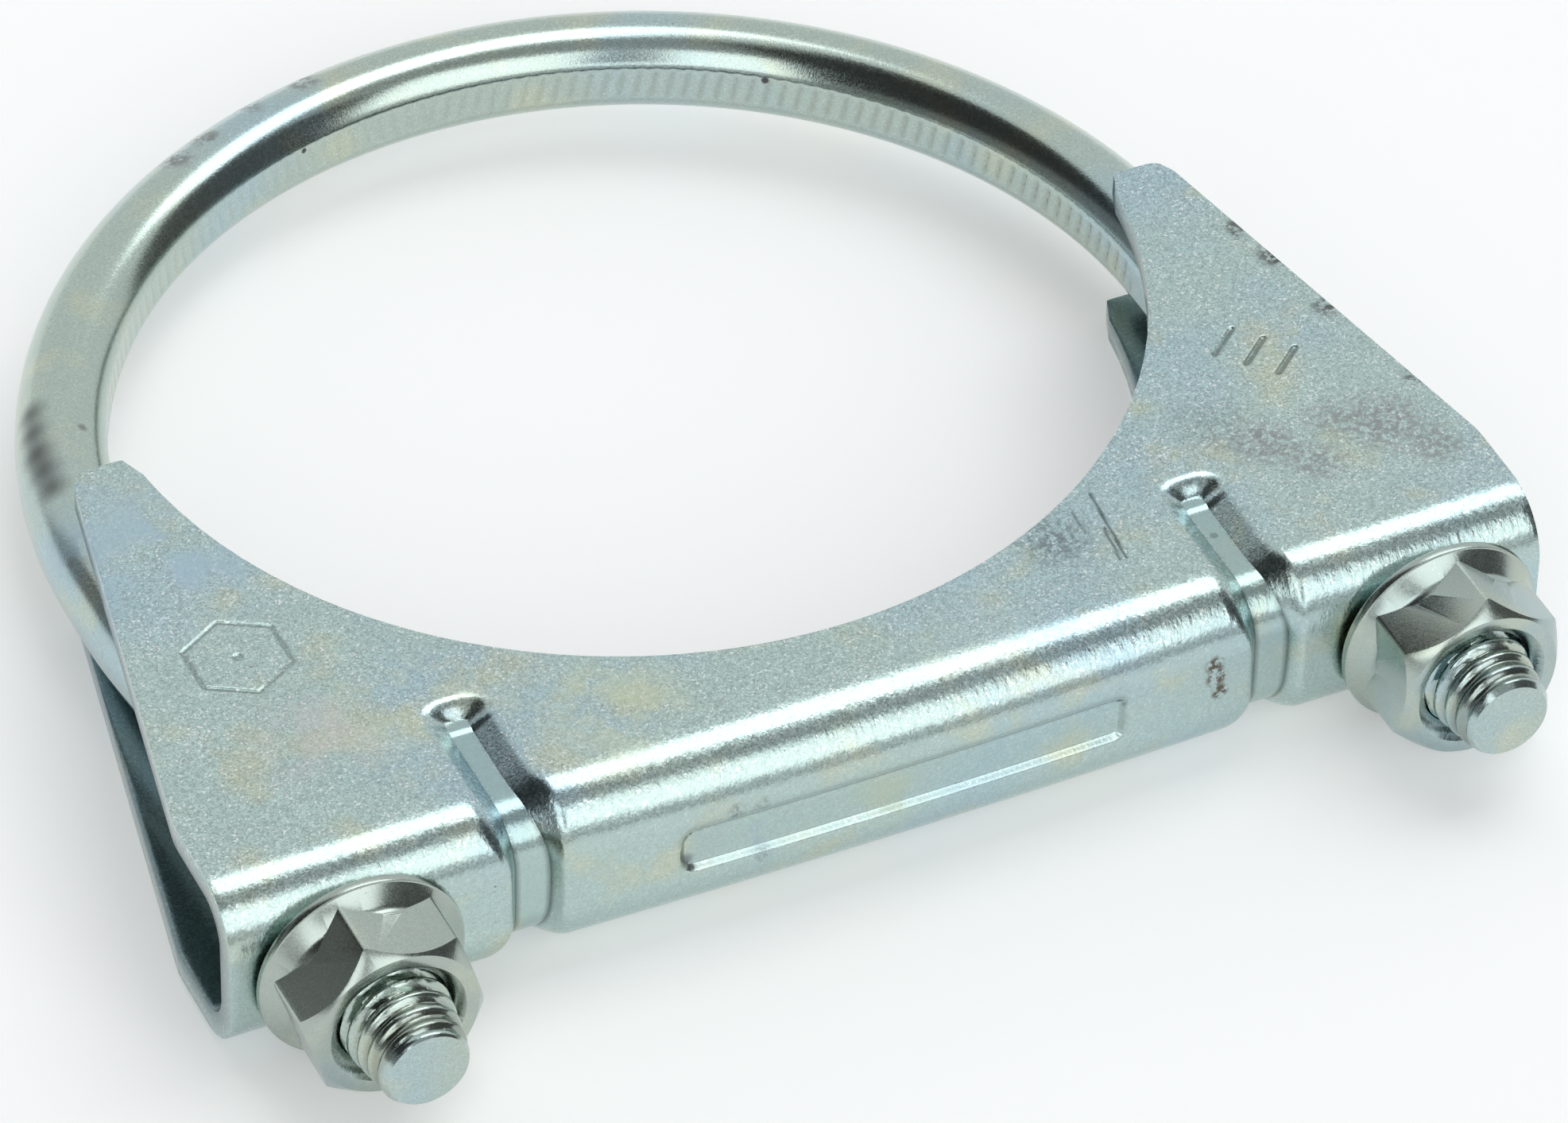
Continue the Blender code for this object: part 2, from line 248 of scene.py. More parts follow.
def makePatchGroup():
    # a soft round patch at a place on the piece: 1 at its middle, 0 at its edge
    inputs = [("X", 0.0), ("Y", 0.0), ("Z", 0.0), ("Radius", 5 * mm), ("Soft", 0.5)]
    group, start, end = newGroup("patchAt", inputs, [("Mask", "Float")])
    place = addNode(group, "ShaderNodeCombineXYZ")
    for name in "XYZ":
        group.links.new(start.outputs[name], place.inputs[name])
    distance = addNode(group, "ShaderNodeVectorMath", operation="DISTANCE")
    group.links.new(objectPoint(group), distance.inputs[0])
    group.links.new(place.outputs[0], distance.inputs[1])
    hard = mathNode(group, "SUBTRACT", 1.0, start.outputs["Soft"])
    inner = times(group, start.outputs["Radius"], hard)
    mask = remap(group, distance.outputs["Value"], inner, start.outputs["Radius"], 1.0, 0.0)
    group.links.new(mask, end.inputs["Mask"])
    return group


def useGroup(tree, group, **values):
    node = addNode(tree, "ShaderNodeGroup", node_tree=group)
    for name, value in values.items():
        feed(tree, node.inputs[name], value)
    return node


fleckGroup = makeFleckGroup()
tintGroup = makeTintGroup()
grimeGroup = makeGrimeGroup()
patchGroup = makePatchGroup()
print("node groups ready")


# Materials

def painted(tree, name):
    return addNode(tree, "ShaderNodeAttribute", attribute_name=name).outputs["Fac"]


def foldGrain(tree, fold):
    # the sheet's skin wrinkles where it is bent, longer round the bend than along it
    parts = addNode(tree, "ShaderNodeSeparateXYZ")
    tree.links.new(objectPoint(tree), parts.inputs[0])
    low = remap(tree, parts.outputs["Y"], fold["y"] + 3.2 * mm, fold["y"] + 5.0 * mm, 1.0, 0.0)
    offset = mathNode(tree, "ABSOLUTE", mathNode(tree, "SUBTRACT", parts.outputs["Z"], fold["z"]))
    bent = times(tree, low, remap(tree, offset, 1.2 * mm, 3.0 * mm))
    wrinkles = noise(tree, objectPoint(tree), fold["size"], 2.0, 0.55, (1.0, 0.42, 0.42))
    return times(tree, times(tree, wrinkles, fold["height"]), bent)


def zincMaterial(name, look, colourPatches=()):
    material = bpy.data.materials.new(name)
    material.use_nodes = True
    tree = material.node_tree
    shader = tree.nodes["Principled BSDF"]
    shader.inputs["Metallic"].default_value = 1.0
    tint = useGroup(tree, tintGroup, Base=look["base"], Strength=look["tint"])
    flecks = useGroup(tree, fleckGroup, Size=look["fleckSize"], Amount=look["flecks"])
    grime = useGroup(tree, grimeGroup, Size=look["grimeSize"], Amount=look["grime"])
    rough = mathNode(tree, "SUBTRACT", 1.0, painted(tree, "smooth"))
    strength = times(tree, mathNode(tree, "ADD", times(tree, rough, 0.7), 0.3), look["grain"])
    centred = times(tree, mathNode(tree, "SUBTRACT", flecks.outputs["Grain"], 0.5), 2.0)
    shade = mathNode(tree, "ADD", 1.0, times(tree, centred, strength))
    grained = addNode(tree, "ShaderNodeVectorMath", operation="SCALE")
    tree.links.new(tint.outputs["Color"], grained.inputs[0])
    tree.links.new(shade, grained.inputs["Scale"])
    # painted glints: crystal flecks mixed towards white, less where the surface is smooth
    glintShare = times(tree, times(tree, flecks.outputs["Flecks"], rough), look["fleckGlint"])
    colour = mixColour(tree, glintShare, grained.outputs[0], (0.95, 0.96, 0.97))
    colour = mixColour(tree, times(tree, grime.outputs["Mask"], 0.7), colour, look["grimeColour"])
    roughness = remap(tree, flecks.outputs["Grain"], 0.0, 1.0, look["roughness"] - 0.05, look["roughness"] + 0.05)
    roughness = mathNode(tree, "SUBTRACT", roughness, times(tree, flecks.outputs["Flecks"], 0.10))
    for colourPatch in colourPatches:
        patch = useGroup(tree, patchGroup, X=colourPatch["at"].x, Y=colourPatch["at"].y, Z=colourPatch["at"].z,
                         Radius=colourPatch["radius"], Soft=colourPatch["soft"])
        share = times(tree, patch.outputs["Mask"], colourPatch["strength"])
        if colourPatch["grain"]:
            mottled = remap(tree, noise(tree, objectPoint(tree), colourPatch["grain"], 3.0, 0.65), 0.40, 0.58)
            share = times(tree, share, mottled)
        colour = mixColour(tree, share, colour, colourPatch["colour"])
        roughness = mathNode(tree, "ADD", roughness, times(tree, share, 0.25))
    for attribute, (share, paint) in look.get("paint", {}).items():
        colour = mixColour(tree, times(tree, painted(tree, attribute), share), colour, paint)
    tree.links.new(colour, shader.inputs["Base Color"])
    tree.links.new(roughness, shader.inputs["Roughness"])
    bump = addNode(tree, "ShaderNodeBump")
    bump.inputs["Strength"].default_value = 1.0
    bump.inputs["Distance"].default_value = look["bump"]
    height = flecks.outputs["Height"]
    if "fold" in look:
        height = mathNode(tree, "ADD", height, foldGrain(tree, look["fold"]))
    tree.links.new(height, bump.inputs["Height"])
    tree.links.new(bump.outputs["Normal"], shader.inputs["Normal"])
    return material


clouds = {
    "blue": (0.40, 0.53, 0.62), "straw": (0.56, 0.61, 0.45), "rose": (0.55, 0.54, 0.54),
    "dark": (0.26, 0.27, 0.27), "brown": (0.15, 0.125, 0.10), "nearBlack": (0.10, 0.10, 0.10),
}


def colourPatch(at, radius, colour, strength, grain=1500.0, soft=0.7):
    return {"at": at, "radius": radius * mm, "soft": soft, "grain": grain, "strength": strength,
            "colour": clouds[colour]}


# U-bolt, measured from the ring's centre on the plane of the rod
uBolt = {
    "centreLine": 41.6 * mm,  # radius of the ring's centre line
    "coinedHeight": 6.8 * mm,  # the ring's rod, from inside to outside
    "rodWidth": 7.1 * mm,
    "flatCut": 0.25 * mm,  # how much the coined inner side is flattened
    "legSpacing": 40.7 * mm,  # half the distance between the legs
    "coinedStart": -4.0 * mm,
    "coinedEnd": -16.0 * mm,
    "threadEnd": -25.5 * mm,
    "threadRadius": 3.93 * mm,
    "rootRadius": 3.26 * mm,
    "threadPitch": 1.25 * mm,
    "endRadius": 2.92 * mm,
    "chamfer": 0.5 * mm,
    "leadRadius": 3.25 * mm,
    "leadLength": 4.2 * mm,
    "ribPitch": 1.3 * mm,  # the ribs left on the grip band by its die
    "ribDepth": 0.10 * mm,
    "ribLean": 0.16,
    "ribHalfWidth": 1.25 * mm,
    "ribEdge": (-0.35 * mm, 0.15 * mm),  # where the ribs end, from that half width
    "grooveWidth": 0.15,  # share of the pitch
    "pillow": 0.5,
    "ribsOnLeft": 0.35,  # how deep they are there, where the die bit less
    "threadStart": 0.4,  # share of a turn
    "threadFlank": (0.18, 0.82),
    "leastThread": 0.26 * mm,  # depth of the thread on the tapered lead
    "threadFade": (0.2 * mm, 0.7 * mm),
    "threadRunOut": 1.6 * mm,
    # how dark the painted shade gets in the thread's roots and in the rib grooves
    "rootShade": 0.55,
    "ribShade": 0.3,
    "endInset": 0.12 * mm,
    "threadStep": 0.125 * mm,  # spacing of the mesh rows
    "ringSteps": 330,
    "sides": 56,
    "sharpAngle": 38,
}
ringCentre = Vector(((boltLow.x + boltHigh.x) / 2,
                     boltHigh.y - uBolt["centreLine"] - uBolt["coinedHeight"] / 2,
                     (boltLow.z + boltHigh.z) / 2))
studEnd = boltLow.y - ringCentre.y
boltLook = {
    "base": (0.47, 0.555, 0.51), "tint": 0.7, "roughness": 0.16,
    "fleckSize": 6200.0, "flecks": 0.2, "fleckGlint": 0.5, "grain": 0.16, "bump": 0.000007,
    "grimeSize": 1800.0, "grime": 0.12, "grimeColour": (0.20, 0.18, 0.16),
    # painted shade in the crevices, tinted yellowish
    "paint": {"creviceShade": (0.8, (0.16, 0.15, 0.10))},
}


def boltRows():
    rows = [("leg", y) for y in np.arange(studEnd, uBolt["threadEnd"], uBolt["threadStep"])]
    rows += [("leg", y) for y in np.linspace(uBolt["threadEnd"], uBolt["coinedEnd"], 14)]
    rows += [("leg", y) for y in np.linspace(uBolt["coinedEnd"], 0, 40)[1:]]
    rows += [("ring", turn) for turn in np.linspace(0, math.pi / 2, uBolt["ringSteps"])[1:]]
    return rows


def sectionAngles():
    # more points round the grip band and its edge lines than round the rest of the rod
    knots = [0, 0.36, 0.41, 0.59, 0.64, 1.0]
    degrees = [0, 146, 159, 201, 214, 360]
    return np.radians(np.interp(np.arange(uBolt["sides"] + 1) / uBolt["sides"], knots, degrees))


def threadedRadius(y, phi, hand):
    fromEnd = y - studEnd
    outer = np.interp(fromEnd, [0, uBolt["chamfer"], uBolt["chamfer"] + uBolt["leadLength"]],
                      [uBolt["endRadius"], uBolt["leadRadius"], uBolt["threadRadius"]])
    inner = min(uBolt["rootRadius"], outer - uBolt["leastThread"])
    phase = (y / uBolt["threadPitch"] + hand * phi / (2 * math.pi) + uBolt["threadStart"]) % 1.0
    crest = step(abs(2 * phase - 1), *uBolt["threadFlank"])
    runOut = step(uBolt["threadEnd"] - y, 0, uBolt["threadRunOut"])
    fade = step(fromEnd, *uBolt["threadFade"])
    cut = (outer - inner) * (1 - crest) * runOut * fade
    shank = uBolt["rodWidth"] / 2
    return (shank + (outer - shank) * runOut) - cut


def ribCut(along, up):
    # thin slanted grooves between rounded pillows
    phase = (along / uBolt["ribPitch"] + up / mm * uBolt["ribLean"]) % 1.0
    groove = math.exp(-(min(phase, 1 - phase) / uBolt["grooveWidth"]) ** 2)
    pillow = uBolt["pillow"] * (2 * phase - 1) ** 2
    edge = step(abs(up) - uBolt["ribHalfWidth"], *uBolt["ribEdge"])
    return (groove + pillow) * (1 - edge)


def ribStrength(turn, side):
    faint = uBolt["ribsOnLeft"]
    return faint + (1 - faint) * step(side * math.cos(turn), -0.2, 0.6)


def sectionPoint(phi, coined, along, ribs=0.0):
    # (outward, up) point of the rod's section, between round and coined
    halfHeight = (uBolt["rodWidth"] + (uBolt["coinedHeight"] - uBolt["rodWidth"]) * coined) / 2
    out = halfHeight * math.cos(phi)
    up = uBolt["rodWidth"] / 2 * math.sin(phi)
    band = -halfHeight + uBolt["flatCut"] * coined
    if out < band:
        out = band + uBolt["ribDepth"] * ribCut(along, up) * ribs
    return out, up


def boltPoint(kind, value, side, phi):
    if kind == "ring":
        out, up = sectionPoint(phi, 1.0, value * uBolt["centreLine"], ribStrength(value, side))
        radius = uBolt["centreLine"] + out
        return toRow(side * radius * math.cos(value), radius * math.sin(value), up)
    y = value
    if y < uBolt["threadEnd"]:
        radius = threadedRadius(y, phi, side)
        return toRow(side * (uBolt["legSpacing"] + radius * math.cos(phi)), y, radius * math.sin(phi))
    coined = step(y, uBolt["coinedEnd"], uBolt["coinedStart"])
    out, up = sectionPoint(phi, coined, y)
    centre = uBolt["legSpacing"] + (uBolt["centreLine"] - uBolt["legSpacing"]) * coined
    return toRow(side * (centre + out), y, up)


def paintBolt(v, layer, kind, value, side, phi):
    # painted shade in the thread's roots and in the grooves of the grip band, tinted yellowish like dirt
    if kind == "leg" and value < uBolt["threadEnd"]:
        x, z = abs(v.co.x - ringCentre.x) - uBolt["legSpacing"], v.co.z - ringCentre.z
        lowest = min(uBolt["rootRadius"], v.co.y - ringCentre.y - studEnd + uBolt["endRadius"])
        root = 1 - step(math.hypot(x, z), lowest, lowest + 0.35 * mm)
        v[layer] = uBolt["rootShade"] * root * step(value - studEnd, 0.3 * mm, 1 * mm)
    elif kind == "ring":
        along, up = value * uBolt["centreLine"], uBolt["rodWidth"] / 2 * math.sin(phi)
        if math.cos(phi) < 0 and abs(up) < uBolt["ribHalfWidth"] + 0.1 * mm:
            v[layer] = uBolt["ribShade"] * min(ribCut(along, up), 1) * ribStrength(value, side)


def makeBolt():
    rows = boltRows()
    path = [(kind, value, 1) for kind, value in rows]
    path += [(kind, value, -1) for kind, value in reversed(rows[:-1])]
    angles = sectionAngles()
    bm = bmesh.new()
    layer = bm.verts.layers.float.new("creviceShade")
    shapedGrid(bm, uBolt["sides"], len(path) - 1, lambda i, j: boltPoint(*path[j], angles[i]),
               lambda v, i, j: paintBolt(v, layer, *path[j], angles[i]))
    bmesh.ops.remove_doubles(bm, verts=bm.verts, dist=1e-7)
    ends = bmesh.ops.holes_fill(bm, edges=[e for e in bm.edges if e.is_boundary], sides=0)
    for face in ends["faces"]:
        bmesh.ops.inset_individual(bm, faces=[face], thickness=uBolt["endInset"], depth=0.0)
    bmesh.ops.recalc_face_normals(bm, faces=bm.faces)
    return newObject("uBoltRod", bm)


# a painted dark reflection streak down the outer top of the left leg, dark marks on the ring's top and small pits
# above the grip band: x, y, z, radius, colour and strength, then grain and softness
boltStainsAndReflection = [colourPatch(toRow(x * mm, y * mm, z * mm), *look) for x, y, z, *look in (
    # painted dark reflection: these five near-black patches make one streak down the leg
    (-40.6, 16.4, 2.7, 1.9, "nearBlack", 0.75, 0, 1.0),
    (-41.3, 14.4, 2.8, 2.0, "nearBlack", 0.8, 0, 1.0),
    (-41.9, 12.2, 2.9, 2.2, "nearBlack", 0.85, 0, 1.0),
    (-42.1, 10.2, 3.0, 2.1, "nearBlack", 0.8, 0, 1.0),
    (-42.3, 8.2, 3.1, 1.9, "nearBlack", 0.75, 0, 1.0),
    (-38.0, 13.1, 3.2, 0.5, "dark", 0.9, 0),
    (-20.4, 37.6, 3.3, 1.7, "dark", 0.9),
    (-17.6, 38.9, 3.3, 1.6, "dark", 0.9),
    (-13.3, 40.9, 3.2, 1.5, "dark", 0.7),
    (-8.5, 41.9, 3.3, 1.7, "dark", 0.9),
    (-42.3, 2.0, 3.2, 4.5, "blue", 0.7, 300.0, 0.9),
    (-10.6, 36.9, 1.2, 0.3, "nearBlack", 1.0, 0, 0.5),
    (23.6, 30.3, 1.2, 0.4, "nearBlack", 1.0, 0, 0.5),
)]
boltPiece = makeBolt()
boltZinc = zincMaterial("boltZinc", boltLook, boltStainsAndReflection)
finishPiece(boltPiece, "u_bolt", "u_bolt", boltZinc, uBolt["sharpAngle"])
print("u-bolt:", len(boltPiece.data.polygons), "faces")


# Saddle, measured from the middle of its web's outer face
saddle = {
    "height": saddleHigh.z - saddleLow.z,
    "sheet": 1.9 * mm,
    "bend": 4.6 * mm,
    "cutout": 38.0 * mm,
    "crown": 9.5 * mm,  # from the web to the bottom of the cut-out
    "hornDrop": 2.3 * mm,
    "hornWidth": 4.4 * mm,
    "hornInnerRound": 1.0 * mm,
    "hornOuterRound": 1.6 * mm,
    "halfLength": 49.3 * mm,
    "knee": 9.7 * mm,
    "kneeRound": 5.0 * mm,
    "bow": 0.5 * mm,
    "skew": math.radians(0.59),
    "shift": -0.42 * mm,
    "webY": -41.1 * mm,
    "edgeRound": 0.018 * mm,
    "holeRadius": 4.7 * mm,
    "sharpAngle": 24,
}
bead = {
    "x": 27.9 * mm,
    "reach": 3.6 * mm,  # how far its rolled sides spread from that line
    "floorWeb": (-0.3 * mm, 2.25 * mm),
    "floorFlange": (-0.6 * mm, 1.0 * mm),
    "sideWeb": 0.9 * mm,  # width of the rolled sides
    "sideFlange": 2.25 * mm,
    "depthWeb": 1.0 * mm,
    "depthFlange": 1.16 * mm,
    "end": 12.4 * mm,
    "endSide": 1.5 * mm,
    "straight": 0.55,  # share of a side that slopes before it rolls over
    "corner": 0.5 * mm,
    "shelf": 11.0 * mm,  # where the floor steps up to a short shelf
    "shelfRise": 0.14 * mm,
}
recess = {
    "left": -16.6 * mm,
    "right": 17.1 * mm,
    "low": -1.95 * mm,
    "high": 1.8 * mm,
    "depth": 0.48 * mm,
    "leftRound": 1.3 * mm,
    "rightRound": 0.8 * mm,
    "lowerWall": 0.62 * mm,
    "endWall": 0.5 * mm,
    "upperWall": 0.22 * mm,
    "shoulder": 0.2 * mm,  # how far the sheet sinks towards the upper wall
    "shoulderReach": 0.9 * mm,
    "reach": 2 * mm,  # how far past its ends anything of it is felt
}
# How far the die (its struck floors painted darker as shade), the plating and painted shade along crisp edges mark
# the outer face, each on the flange and on the web
saddlePaint = {
    "pressedShade": (1.0, 0.35),
    "smooth": (0.0, 0.85),
    "creviceShade": (0.25, 0.85),
    "creviceWidth": 0.12 * mm,
    "recessPressedShade": 0.35,
    "recessEdgeShade": 0.9,
    "shoulderShade": 0.35,
}
saddleLook = {
    "base": (0.475, 0.595, 0.57), "tint": 0.8, "roughness": 0.21,
    "fleckSize": 4400.0, "flecks": 0.65, "fleckGlint": 0.95, "grain": 0.36, "bump": 0.000010,
    "fold": {"y": ringCentre.y + saddle["webY"], "z": (saddleLow.z + saddleHigh.z) / 2,
             "size": 2200.0, "height": 3.4},
    # painted colours: darker floors where the die struck, as painted shade; painted shade along crisp edges;
    # painted shade over the channel's inner face
    "paint": {"pressedShade": (0.55, (0.34, 0.47, 0.46)), "creviceShade": (0.85, (0.09, 0.12, 0.11)),
              "inside": (0.72, (0.13, 0.18, 0.21))},
    "grimeSize": 1500.0, "grime": 0.12, "grimeColour": (0.16, 0.14, 0.12),
}
# Strokes cut into the upper flange: (x, y, turn, length, width, depth), all but the turn in millimetres.
# The three short ones are a plain mark, in place of lettering; the long thin ones are scratches.
strokes = [
    (37.3, 25.4, 40, 3.0, 0.36, 0.13), (38.9, 23.6, 40, 3.0, 0.36, 0.13), (40.5, 21.8, 40, 3.0, 0.36, 0.13),
    (21.1, 11.2, 84.5, 7.0, 0.17, 0.05), (20.5, 9.4, 83, 3.4, 0.15, 0.04), (19.3, 12.3, 86, 2.4, 0.13, 0.03),
]
hexMark = {"x": -39.0 * mm, "y": 23.2 * mm, "radius": 3.3 * mm, "depth": 0.08 * mm, "width": 0.28 * mm,
           "dot": 0.4 * mm}
flatTolerance = 0.01 * mm


def roundedCorner(before, corner, after, radius, steps=8):
    a, b, c = Vector(before), Vector(corner), Vector(after)
    toA, toC = (a - b).normalized(), (c - b).normalized()
    half = toA.angle(toC) / 2
    centre = b + (toA + toC).normalized() * (radius / math.sin(half))
    start = b + toA * (radius / math.tan(half)) - centre
    turn = start.angle_signed(b + toC * (radius / math.tan(half)) - centre)
    return [centre + Matrix.Rotation(-turn * i / steps, 2) @ start for i in range(steps + 1)]


def outlineCurves():
    # the half-saddle's top edge, from the middle of the cut-out to the horn, and its side edge up to the horn
    cutout, drop = saddle["cutout"], saddle["hornDrop"]
    top = saddle["crown"] + cutout
    hornTop = top - drop
    inner = (math.sqrt(cutout ** 2 - drop ** 2), hornTop)
    outer = (cutout + saddle["hornWidth"], hornTop)
    knee = (saddle["halfLength"], saddle["knee"])
    foot = (saddle["halfLength"], saddle["bend"])
    tangent = (inner[0] - drop, hornTop - inner[0])
    innerRound = roundedCorner(tangent, inner, outer, saddle["hornInnerRound"])
    outerRound = roundedCorner(inner, outer, knee, saddle["hornOuterRound"])
    kneeRound = roundedCorner(foot, knee, outer, saddle["kneeRound"])
    stop = math.atan2(innerRound[0].y - top, innerRound[0].x)
    arc = [Vector((cutout * math.cos(t), top + cutout * math.sin(t)))
           for t in np.linspace(-math.pi / 2, stop, 160)]
    half = len(outerRound) // 2
    topEdge = arc + innerRound[1:] + outerRound[:half + 1]
    sideEdge = [Vector(foot)] + [p for p in kneeRound if p.y > foot[1]] + outerRound[:half - 1:-1]
    return topEdge, sideEdge


def lengths(points):
    return np.concatenate([[0], np.cumsum([(q - p).length for p, q in zip(points, points[1:])])])


topEdge, sideEdge = outlineCurves()
topLengths, sideLengths = lengths(topEdge), lengths(sideEdge)
topX, topY = [p.x for p in topEdge], [p.y for p in topEdge]
sideX, sideY = [p.x for p in sideEdge], [p.y for p in sideEdge]
arcLength = saddle["cutout"] * math.pi / 2


def topAt(x):
    # the point of the top edge that belongs to a column which starts at x on the fold
    reach = saddle["cutout"]
    beadLow, beadHigh = bead["x"] - bead["reach"], bead["x"] + bead["reach"]
    share = np.interp(x, [0, beadLow, beadHigh, 38 * mm, saddle["halfLength"]],
                      [0, reach * math.asin(beadLow / reach), reach * math.asin(beadHigh / reach),
                       0.965 * arcLength, topLengths[-1]])
    return Vector((np.interp(share, topLengths, topX), np.interp(share, topLengths, topY)))


def sideAt(share):
    length = share * sideLengths[-1]
    return Vector((np.interp(length, sideLengths, sideX), np.interp(length, sideLengths, sideY)))


def flangePoint(x, share):
    # a point of the flat flange, share = 0 on the fold and 1 on the cut edge
    start = Vector((x, saddle["bend"]))
    point = start.lerp(topAt(x), share)
    bulge = sideAt(share) - sideAt(0).lerp(sideAt(1), share)
    return point + bulge * (x / saddle["halfLength"]) ** 4


webFlat = saddle["height"] / 2 - saddle["bend"]
foldLength = webFlat + saddle["bend"] * math.pi / 2


def uprightColumn(x, flat):
    # near a bead the flange's columns stay at right angles to the fold, up to a little past its end
    near = 1 - step(abs(abs(x) - bead["x"]), bead["reach"], bead["reach"] + 2 * mm)
    low = 1 - step(flat.y, bead["end"] + 2 * mm, bead["end"] + 7 * mm)
    return flat.x + (abs(x) - flat.x) * near * low


def beadFloor(along):
    # left and right edge of the bead's flat floor, at a distance along the sheet from the web's middle
    share = step(along, 0.5 * mm, 11 * mm)
    return [web + (flange - web) * share for web, flange in zip(bead["floorWeb"], bead["floorFlange"])]


def slideColumn(x, along):
    # columns inside a bead follow the edges of its floor
    offset, reach = x - math.copysign(bead["x"], x), bead["reach"]
    if abs(offset) >= reach:
        return x
    return x - offset + np.interp(offset, [-reach, *bead["floorFlange"], reach], [-reach, *beadFloor(along), reach])


def beadGap(x, along):
    # distance outside the edge of the floor, and how far that lies at the bead's end: 0 at the side, 1 at the end
    left, right = beadFloor(along)
    across = abs(x - math.copysign(bead["x"], x) - (left + right) / 2) - (right - left) / 2 + bead["corner"]
    past = along - foldLength + saddle["bend"] - bead["end"] + bead["corner"]
    if past > 0:
        distance = math.hypot(max(across, 0), past)
        return distance - bead["corner"], (past / distance) ** 2
    return across - bead["corner"], 0


def beadDepth(x, along, outside):
    # flat floor with crisp edges, sides that slope up and roll over, and a steeper end
    gap, endward = beadGap(x, along)
    y = along - foldLength + saddle["bend"]
    bent = step(along, 2 * mm, 7 * mm)
    side = bead["sideWeb"] + (bead["sideFlange"] - bead["sideWeb"]) * bent
    side = side + (bead["endSide"] - side) * endward
    floor = bead["depthWeb"] + (bead["depthFlange"] - bead["depthWeb"]) * bent
    if not outside:
        return floor * (1 - step(gap, -0.4 * mm, side))
    share = min(max(gap / side, 0), 1)
    straight = bead["straight"]
    sloped = 1 - 2 * share / (1 + straight) if share < straight else (1 - share) ** 2 / (1 - straight ** 2)
    rounded = (1 - share) ** 1.8
    floor -= bead["shelfRise"] * step(y, bead["shelf"], bead["shelf"] + 0.45 * mm)
    return floor * (sloped + (rounded - sloped) * endward)


def overRecess(x):
    return recess["left"] - recess["reach"] < x < recess["right"] + recess["reach"]


def recessGap(x, z):
    # distance outside the recess's edge, and which way it faces: 1 at the upper side, -1 at the lower one
    left, right, low, high = [recess[name] for name in ("left", "right", "low", "high")]
    corner = recess["leftRound"] if x < 0 else recess["rightRound"]
    across = abs(x - (left + right) / 2) - (right - left) / 2 + corner
    height = z - (low + high) / 2
    upward = abs(height) - (high - low) / 2 + corner
    if across > 0 and upward > 0:
        distance = math.hypot(across, upward)
        return distance - corner, math.copysign(upward / distance, height)
    if upward > across:
        return upward - corner, math.copysign(1, height)
    return across - corner, 0


def recessDepth(x, z):
    # a flat floor, a soft shoulder over a crisp upper wall, and a lower wall that slopes out
    if not overRecess(x):
        return 0.0
    gap, facing = recessGap(x, z)
    wall = np.interp(facing, [-1, -0.3, 0.3, 1],
                     [recess["lowerWall"], recess["endWall"], recess["endWall"], recess["upperWall"]])
    sunk = recess["shoulder"] * max(facing, 0)
    if gap > 0:
        return sunk * (1 - step(gap, 0, recess["shoulderReach"]))
    return sunk + (recess["depth"] - sunk) * (1 - step(gap, -wall, 0))


def spread(stretches):
    return [low + (high - low) * i / count for low, high, count in stretches for i in range(count)]


def sheetColumns():
    # column positions along the fold: close together across the beads and at the recess's ends
    low, high = bead["x"] - bead["reach"], bead["x"] + bead["reach"]
    left, right = bead["floorFlange"]
    inner = spread(((0.4 * mm, 14 * mm, 14), (14 * mm, 18 * mm, 15), (18 * mm, low, 6)))
    outer = spread(((high, 38 * mm, 9), (38 * mm, saddle["halfLength"], 16))) + [saddle["halfLength"]]
    across = spread(((-bead["reach"], left - 1.4 * mm, 5), (left - 1.4 * mm, left, 9), (left, right, 6),
                     (right, right + 1.4 * mm, 9), (right + 1.4 * mm, bead["reach"], 5)))
    leftHalf = [-x for x in reversed(outer)] + [u - bead["x"] for u in across[1:] + [bead["reach"]]]
    leftHalf += [-x for x in reversed(inner)]
    return leftHalf + inner + [u + bead["x"] for u in across] + outer


def sheetRows():
    # ("flange", side, share), ("bend", side, turn) or ("web", 0, z), from the lower horns to the upper ones
    shares = spread(((0, 0.30, 12), (0.30, 0.56, 30), (0.56, 1, 14))) + [1]
    flange = [("flange", share) for share in shares[1:]]
    bend = [("bend", turn) for turn in np.linspace(0, math.pi / 2, 19)[1:]]
    lower = [(kind, -1, value) for kind, value in reversed(bend + flange)]
    floorLow, floorHigh = recess["low"] + recess["lowerWall"], recess["high"] - recess["upperWall"]
    heights = spread(((-webFlat, recess["low"], 3), (recess["low"], floorLow, 8), (floorLow, floorHigh, 9),
                      (floorHigh, recess["high"], 5), (recess["high"], webFlat, 4))) + [webFlat]
    web = [("web", 0, z) for z in heights]
    return lower + web + [(kind, 1, value) for kind, value in bend + flange]


def bowAt(x):
    return saddle["bow"] * max(1 - (x / (bead["x"] - 2.4 * mm)) ** 2, 0)


def onSheet(x, row):
    # the slid column, the distance along the sheet, and the point and normal of the plain outer face
    kind, side, value = row
    if kind == "web":
        along = abs(value)
        x = slideColumn(x, along)
        return x, along, Vector((x, -bowAt(x), value)), Vector((0, -1, 0))
    if kind == "bend":
        along = webFlat + saddle["bend"] * value
        x = slideColumn(x, along)
        normal = Vector((0, -math.cos(value), side * math.sin(value)))
        middle = Vector((x, saddle["bend"] - bowAt(x) * math.cos(value), side * webFlat))
        return x, along, middle + normal * saddle["bend"], normal
    flat = flangePoint(abs(x), value)
    along = foldLength - saddle["bend"] + flat.y
    x = slideColumn(math.copysign(uprightColumn(x, flat), x), along)
    return x, along, Vector((x, flat.y, side * saddle["height"] / 2)), Vector((0, 0, side))


